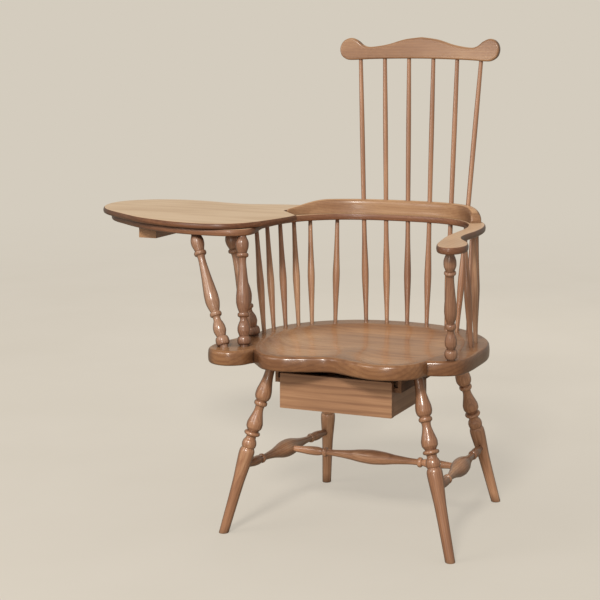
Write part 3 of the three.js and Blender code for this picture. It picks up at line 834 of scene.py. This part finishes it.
def rail_point(edge, degrees, inset=0):
    """Plan point on one of the rail's curved edges. 0 is the middle of the back and 90 is
    the right-hand side."""
    angle = math.radians(degrees)
    power = 2 / RAIL_SQUARENESS
    half_width = edge["left"] if degrees < 0 else edge["right"]
    x = abs(math.sin(angle)) ** power * (half_width + inset)
    y = abs(math.cos(angle)) ** power * (edge["depth"] + inset)
    return (math.copysign(x, degrees), y)


def rail_edge(edge, first, last):
    """A run of the rail's edge between two angles."""
    return [rail_point(edge, degrees) for degrees in np.linspace(first, last, 50)]


HAND_HOLD = [
    (217, -40), (221, -95), (231, -155), (243, -212), (261, -253), (286, -267),
    (307, -252), (315, -215), (301, -165), (269, -112), (254, -60),
]
ARM_BOARD_EDGE = [
    (0, 288), (-100, 281), (-200, 262), (-290, 236), (-370, 212), (-440, 196),
    (-500, 200), (-570, 214), (-640, 214), (-704, 190), (-744, 148), (-755, 98),
    (-743, 40), (-705, -20), (-645, -70), (-560, -130), (-480, -166), (-410, -183),
    (-345, -187), (-290, -178), (-260, -152), (-256, -115), (-268, -70), (-280, -20),
]


def build_arms():
    """Both arms are shaped as one board, then parted at the middle of the back."""
    rail = rail_edge(RAIL_INNER, -88, 88) + HAND_HOLD + rail_edge(RAIL_OUTER, 88, 8)
    outline = closed(
        spline(plan(rail), OUTLINE_SPACING),
        spline(plan([rail_point(RAIL_OUTER, 8)] + ARM_BOARD_EDGE), OUTLINE_SPACING),
        resample(plan([ARM_BOARD_EDGE[-1], rail_point(RAIL_INNER, -88)]), OUTLINE_SPACING),
    )
    edge = rounded_edge(ARM_UNDER, ARM_TOP, 4.5 * MM, 4.5 * MM, bulge=0.5 * MM)
    whole = board("arm_blank", outline, edge)
    middle = Vector((MIDDLE.x, 0, 0))
    side = Vector((1, 0, 0))
    left = cut(whole, "arm_board_left", middle - side * GAP / 2, side)
    right = cut(whole, "arm_board_right", middle + side * GAP / 2, -side)
    bpy.data.objects.remove(whole)
    install(left, "arm_rail_left", "X", "arm_wood")
    install(right, "arm_rail_right", "Y", "arm_wood")


build_arms()

# The raised back piece tapers to a point on the writing side and rounds down on the other.
# Its angles are in degrees round the rail, and its sizes in millimetres.
RAISED_FIRST, RAISED_FALL, RAISED_LAST = -68, 36, 58
RAISED_TIP_HALF_WIDTH, RAISED_HALF_WIDTH = 3, 17
RAISED_TIP_HEIGHT, RAISED_HEIGHT = 15, 35
RAISED_SECTION = [
    (-1, 0), (-1, 0.10), (-0.93, 0.22), (-0.88, 0.42), (-0.84, 0.64), (-0.74, 0.84),
    (-0.52, 0.96), (-0.2, 1), (0.2, 1), (0.52, 0.97), (0.8, 0.86), (0.95, 0.68), (1, 0.45),
    (1, 0),
]


def raised_size(degrees):
    """Half width and height of the raised back piece at an angle round the rail, in mm."""
    grown = ease(degrees, RAISED_FIRST - 4, RAISED_FIRST + 30)
    fallen = max(0, (degrees - RAISED_FALL) / (RAISED_LAST - RAISED_FALL))
    standing = math.sqrt(1 - min(fallen, 1) ** 2)
    widening = (RAISED_HALF_WIDTH - RAISED_TIP_HALF_WIDTH) * grown
    half_width = RAISED_TIP_HALF_WIDTH + widening * (0.75 + 0.25 * standing)
    height = RAISED_TIP_HEIGHT + (RAISED_HEIGHT - RAISED_TIP_HEIGHT) * grown
    return half_width, height * (0.25 + 0.75 * standing)


def raised_frame(degrees):
    """Centre of the rail at an angle, and the unit direction outwards across it."""
    inner = np.array(rail_point(RAIL_INNER, degrees, 3))
    outer = np.array(rail_point(RAIL_OUTER, degrees, -3))
    return (inner + outer) / 2, (outer - inner) / np.linalg.norm(outer - inner)


def build_raised_back():
    """Sections swept round the rail, with both end faces eased down."""
    section = spline(RAISED_SECTION, 0.09)
    sides = len(section)
    rings = []
    for degrees in np.linspace(RAISED_FIRST, RAISED_LAST, 90):
        centre, across = raised_frame(degrees)
        half_width, height = raised_size(degrees)
        from_first = ease(degrees, RAISED_FIRST - 1, RAISED_FIRST + 2)
        from_last = ease(-degrees, -RAISED_LAST - 0.6, -RAISED_LAST + 1.6)
        height *= 0.6 + 0.4 * min(from_first, from_last)
        flat = plan(centre + np.outer(section[:, 0] * half_width, across))
        rise = RAISED_UNDER + section[:, 1] * height * MM
        rings.append(np.column_stack([flat, rise]))
    faces = strip_faces(len(rings), sides)
    total = len(rings) * sides
    faces.append(list(range(sides)))
    faces.append(list(range(total - sides, total))[::-1])
    piece = make_object("raised_back_piece", np.vstack(rings), faces)
    bm = bmesh.new()
    bm.from_mesh(piece.data)
    bmesh.ops.recalc_face_normals(bm, faces=bm.faces)
    bm.to_mesh(piece.data)
    bm.free()
    install(piece, "arm_crest", "X")


build_raised_back()

TABLET_EDGE = [
    (-217, 40), (-222, -8), (-236, -66), (-258, -130), (-296, -176), (-350, -195),
    (-412, -193), (-482, -176), (-562, -143), (-650, -84), (-725, -25), (-768, 40),
    (-782, 102), (-770, 160), (-725, 208), (-650, 236), (-570, 234), (-500, 218),
    (-440, 212), (-380, 228), (-320, 243), (-262, 252),
]
TABLET_MEETS_RAIL = -42       # degrees round the rail, where the tablet's rear edge ends
TABLET_GAP = 0.5              # millimetres


def build_tablet():
    """The tablet stops against the outer flank of the raised back piece, goes round its tip
    and then runs straight to the front."""
    flank = [TABLET_EDGE[-1]]
    for degrees in np.linspace(TABLET_MEETS_RAIL, RAISED_FIRST, 14):
        centre, across = raised_frame(degrees)
        half_width, _ = raised_size(degrees)
        flank.append(tuple(centre + across * (half_width + TABLET_GAP)))
    centre, across = raised_frame(RAISED_FIRST - 2)
    flank.append(tuple(centre - across * (RAISED_TIP_HALF_WIDTH + 1)))
    flank.append(TABLET_EDGE[0])
    outline = closed(
        spline(plan(TABLET_EDGE), OUTLINE_SPACING),
        resample(plan(flank), OUTLINE_SPACING),
    )
    edge = rounded_edge(TABLET_UNDER, TABLET_TOP, 4 * MM, 5.5 * MM, bulge=0.4 * MM)
    piece = board("tablet_top", outline, edge)
    install(piece, "writing_tablet", "X")


build_tablet()

# ------------------------------------------------------------------------------ comb rail

COMB_HALF = [
    (0, 60), (45, 54), (90, 41), (136, 34), (157, 38), (173, 50), (192, 57), (210, 49),
    (218, 31), (213, 12), (197, 1), (178, 0),
]
COMB_FOOT = [(178, 0), (120, 3), (0, 5), (-120, 3), (-178, 0)]
COMB_THICK = 20 * MM
COMB_BACK = 328 * MM          # from the middle point back to the middle of the rail's foot
COMB_BOW = 12 * MM            # how far the rail bows forward at this distance from its middle
COMB_BOW_AT = 200 * MM
COMB_LEAN = 0.19              # backwards for each unit upwards


def build_comb_rail():
    """The rail is sawn as a flat board, then bowed towards the sitter and leant back."""
    half = spline(np.array(COMB_HALF) * MM, 3.5 * MM)
    foot = spline(np.array(COMB_FOOT) * MM, 3.5 * MM)
    other = (half * (-1, 1))[::-1]
    outline = closed(half, foot, other)
    edge = rounded_edge(0, COMB_THICK, 4.5 * MM, 4.5 * MM, bulge=0.3 * MM)

    def bend(points):
        x, height, depth = points.T
        bow = COMB_BOW * (x / COMB_BOW_AT) ** 2
        y = MIDDLE.y + COMB_BACK - bow + COMB_LEAN * height - (depth - COMB_THICK / 2)
        return np.column_stack([x + MIDDLE.x, y, COMB_UNDER + height])

    piece = board("comb_crest_rail", outline, edge, spacing=5 * MM, warp=bend)
    install(piece, "crest_rail", "X")


build_comb_rail()

# ---------------------------------------------------------------- CAD nodes that are kept


def dress(node, grain, softness):
    """Keeps a CAD node, with eased edges and its own finish."""
    kept = nodes[node]
    weld = kept.modifiers.new("weld", "WELD")
    weld.merge_threshold = 0.01 * MM
    bevel = kept.modifiers.new("eased_edges", "BEVEL")
    bevel.width = softness
    bevel.segments = 3
    bevel.limit_method = "ANGLE"
    bevel.angle_limit = math.radians(40)
    bevel.harden_normals = True
    kept.data.materials.clear()
    kept.data.materials.append(material_for(SLOT[node], grain))


dress("tablet_batten", "Y", 2 * MM)
dress("drawer_front", "X", 1.6 * MM)
dress("drawer_back", "X", 0.8 * MM)
dress("drawer_bottom", "X", 0.5 * MM)
dress("drawer_stop", "X", 0.8 * MM)
for side in ("left", "right"):
    dress(f"drawer_side_{side}", "Y", 0.8 * MM)
    dress(f"drawer_hanger_{side}", "Y", 0.8 * MM)
    dress(f"drawer_runner_{side}", "Y", 0.8 * MM)
for number in (1, 2):
    dress(f"extension_dowel_{number}", "X", 0.4 * MM)
    dress(f"arm_crest_screw_{number}", "Z", 0.1 * MM)
    dress(f"batten_screw_{number}", "Z", 0.1 * MM)

# ------------------------------------------------------------------ floor, light, camera

HEADING = math.radians(22.348)      # the viewer stands this far round to the right
AWAY = Vector((-math.sin(HEADING), math.cos(HEADING), 0))
ACROSS = Vector((math.cos(HEADING), math.sin(HEADING), 0))
UP = Vector((0, 0, 1))
EYE_DISTANCE = 4.0047
EYE_HEIGHT = 1.2148
LENS = 100.1
LENS_SHIFT = {"shift_x": -0.1198, "shift_y": -0.4785}

FLOOR_RADIUS = 7.0
FADE_START = 2.2
FADE_END = 6.5
EVEN_SHARE = 0.62             # of the floor's brightness that no shadow takes away
PAPER = tone(212, 204, 190)
ROOM_LIGHT = ((1.0, 0.97, 0.93, 1), 0.52)               # colour and strength
MIRRORED_LIGHT = ((1.0, 0.87, 0.72, 1), 0.36)
LAMP_COLOUR = (1.0, 0.96, 0.90)
LAMP_AIM = MIDDLE + Vector((-0.1, 0, 0.5))
SUN_FROM = -AWAY - 0.24 * ACROSS + 0.8 * UP             # over the viewer's left shoulder


def build_floor():
    """A pale, evenly bright round floor that takes only faint shadows and fades into the
    backdrop. Seen from below it is clear."""
    bpy.ops.mesh.primitive_circle_add(vertices=96, radius=FLOOR_RADIUS, fill_type="NGON")
    floor = bpy.context.object
    floor.name = "floor"
    floor.location = (0, 0, -0.2 * MM)
    g = Graph("pale_floor")
    place = g.node("ShaderNodeTexCoord").outputs["Object"]
    mottle = g.noise(place, (2.5, 2.5, 2.5), detail=4).outputs["Fac"]
    colour = g.mix(mottle, tone(215, 207, 194), tone(209, 201, 187))
    lit = g.node("ShaderNodeBsdfDiffuse", {"Color": colour})
    even = g.node("ShaderNodeEmission", {"Color": colour})
    seen = g.node("ShaderNodeMixShader", {0: EVEN_SHARE, 1: lit.outputs[0], 2: even.outputs[0]})
    bounce = g.node("ShaderNodeBsdfDiffuse", {"Color": tone(150, 138, 122)})
    direct = g.node("ShaderNodeLightPath").outputs["Is Camera Ray"]
    paper = g.node("ShaderNodeMixShader", {0: direct, 1: bounce.outputs[0], 2: seen.outputs[0]})
    fade = g.node(
        "ShaderNodeMapRange",
        {"Value": g.vector("LENGTH", place), "From Min": FADE_START, "From Max": FADE_END},
        interpolation_type="SMOOTHSTEP",
    )
    under = g.node("ShaderNodeNewGeometry").outputs["Backfacing"]
    hidden = g.math("MAXIMUM", fade.outputs["Result"], under)
    clear = g.node("ShaderNodeBsdfTransparent")
    mixed = g.node("ShaderNodeMixShader", {0: hidden, 1: paper.outputs[0], 2: clear.outputs[0]})
    floor.data.materials.append(g.finish(mixed.outputs[0]))


def background(tree, colour, strength):
    """Output of an even background light."""
    made = tree.nodes.new("ShaderNodeBackground")
    made.inputs["Color"].default_value = colour
    made.inputs["Strength"].default_value = strength
    return made.outputs[0]


def build_world():
    """Pale backdrop, with gentle even light for everything that isn't seen directly, and a
    dimmer room for the varnish to mirror."""
    world = bpy.data.worlds.new("studio")
    bpy.context.scene.world = world
    world.use_nodes = True
    tree = world.node_tree
    tree.nodes.clear()
    path = tree.nodes.new("ShaderNodeLightPath")
    shown = background(tree, *ROOM_LIGHT)
    for ray, other in (
        ("Is Glossy Ray", background(tree, *MIRRORED_LIGHT)),
        ("Is Camera Ray", background(tree, PAPER, 1)),
    ):
        mixed = tree.nodes.new("ShaderNodeMixShader")
        tree.links.new(path.outputs[ray], mixed.inputs[0])
        tree.links.new(shown, mixed.inputs[1])
        tree.links.new(other, mixed.inputs[2])
        shown = mixed.outputs[0]
    out = tree.nodes.new("ShaderNodeOutputWorld")
    tree.links.new(shown, out.inputs["Surface"])


def build_sun(place, strength):
    """Broad key light that shines from the given direction."""
    lamp = bpy.data.lights.new("key", "SUN")
    lamp.energy = strength
    lamp.angle = math.radians(10)
    lamp.color = (1.0, 0.965, 0.91)
    holder = bpy.data.objects.new("key", lamp)
    holder.rotation_euler = (-place).to_track_quat("-Z", "Y").to_euler()
    bpy.context.scene.collection.objects.link(holder)


def soft_box(name, place, size, watts, mirrored=True):
    """A square area light that faces the chair. The varnish may or may not mirror it."""
    lamp = bpy.data.lights.new(name, "AREA")
    lamp.size = size
    lamp.energy = watts
    lamp.color = LAMP_COLOUR
    holder = bpy.data.objects.new(name, lamp)
    holder.visible_glossy = mirrored
    holder.location = LAMP_AIM + place
    holder.rotation_euler = (-place).to_track_quat("-Z", "Y").to_euler()
    bpy.context.scene.collection.objects.link(holder)


def build_camera():
    """Level view from eye height, a little to the right of the front."""
    data = bpy.data.cameras.new("view")
    camera = bpy.data.objects.new("view", data)
    bpy.context.scene.collection.objects.link(camera)
    camera.location = MIDDLE - EYE_DISTANCE * AWAY + EYE_HEIGHT * UP
    camera.rotation_euler = AWAY.to_track_quat("-Z", "Y").to_euler()
    data.lens = LENS
    data.sensor_width = 36
    # The lens shift frames the chair from here, and is let go when the camera is elsewhere.
    for channel, amount in LENS_SHIFT.items():
        driver = data.driver_add(channel).driver
        place = driver.variables.new()
        place.name = "place"
        place.type = "TRANSFORMS"
        place.targets[0].id = camera
        place.targets[0].transform_type = "LOC_X"
        driver.expression = f"{amount} if abs(place - {camera.location.x:.6f}) < 0.001 else 0.0"
    bpy.context.scene.camera = camera


build_floor()
build_world()
build_sun(SUN_FROM, 1.95)
soft_box("window", -2.2 * ACROSS - 1.2 * AWAY + 1.5 * UP, size=1.4, watts=20)
soft_box("front_glow", -0.7 * ACROSS - 3 * AWAY + 0.3 * UP, size=0.6, watts=9)
soft_box("back_glow", 0.8 * ACROSS + 2.6 * AWAY + 1.2 * UP, size=1.6, watts=9, mirrored=False)
build_camera()
bpy.context.scene.view_settings.view_transform = "Standard"
